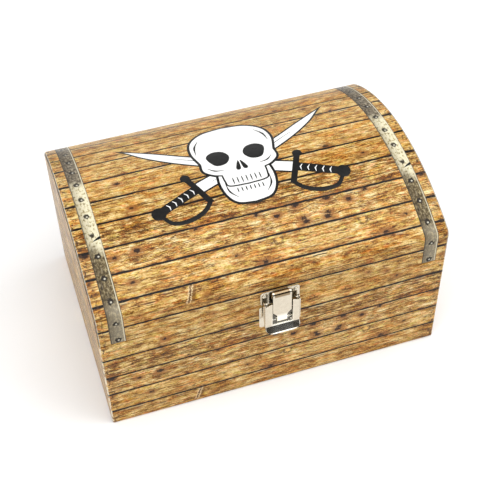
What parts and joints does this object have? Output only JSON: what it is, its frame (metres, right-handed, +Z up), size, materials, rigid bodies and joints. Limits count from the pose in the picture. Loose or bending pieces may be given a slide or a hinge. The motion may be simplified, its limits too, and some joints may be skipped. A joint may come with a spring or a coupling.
{
  "type": "treasure chest box",
  "caption": "Small treasure chest box of paper-covered board: plank print, domed lid with printed straps and a skull and cutlasses, cloth hinge, and nickel draw latch.",
  "frame": {"origin": "middle of the underside, where the closed chest stands", "axes": "+X along the width, to the right of someone facing the latch; +Y from the latch side to the hinge side; +Z up"},
  "size_m": [0.24, 0.1784, 0.133],
  "materials": {
    "plank_paper": "printed weathered planks, satin film",
    "greyboard": "matt pressed board",
    "lining_paper": "matt dyed paper",
    "cover_paper": "matt black paper",
    "hinge_cloth": "bookbinding cloth",
    "nickel": "nickel plate, lightly worn"
  },
  "bodies": {
    "base": {"base_bottom_board": "greyboard", "base_front_board": "greyboard", "base_back_board": "greyboard", "base_left_board": "greyboard", "base_right_board": "greyboard", "base_wrap": "plank_paper", "base_cover_sheet": "cover_paper", "base_lining": "lining_paper", "base_floor_liner": "lining_paper", "hinge_cloth_outer": "hinge_cloth", "hinge_cloth_inner": "hinge_cloth", "latch_base_plate": "nickel", "latch_pivot_pin_left": "nickel", "latch_pivot_pin_right": "nickel", "base_rivet_upper_left": "nickel", "base_rivet_upper_right": "nickel", "base_rivet_lower_left": "nickel", "base_rivet_lower_right": "nickel"},
    "lid": {"lid_front_strip_board": "greyboard", "lid_back_strip_board": "greyboard", "lid_dome_board": "greyboard", "lid_left_end_board": "greyboard", "lid_right_end_board": "greyboard", "lid_wrap": "plank_paper", "lid_left_end_sheet": "plank_paper", "lid_right_end_sheet": "plank_paper", "lid_lining": "lining_paper", "lid_left_lining": "lining_paper", "lid_right_lining": "lining_paper", "latch_keeper_plate": "nickel", "keeper_rivet_left": "nickel", "keeper_rivet_right": "nickel"},
    "latch_lever": {"latch_lever": "nickel", "latch_link_pin": "nickel"},
    "latch_link": {"latch_link": "nickel"}
  },
  "joints": [
    {"name": "lid_hinge", "type": "hinge", "parent": "base", "child": "lid", "pos_m": [0, 0.08425, 0.084], "axis": [-1, 0, 0], "range_deg": [0, 105], "deforming": ["hinge_cloth_outer", "hinge_cloth_inner"]},
    {"name": "latch_lever_pivot", "type": "hinge", "parent": "base", "child": "latch_lever", "pos_m": [0.001, -0.0877, 0.0886], "axis": [-1, 0, 0], "range_deg": [0, 120]},
    {"name": "latch_link_pivot", "type": "hinge", "parent": "latch_lever", "child": "latch_link", "pos_m": [0.001, -0.0874, 0.0714], "axis": [1, 0, 0], "range_deg": [0, 90]}
  ],
  "couplings": [
    {"joint": "latch_link_pivot", "follows": "latch_lever_pivot", "ratio": 0.75}
  ]
}
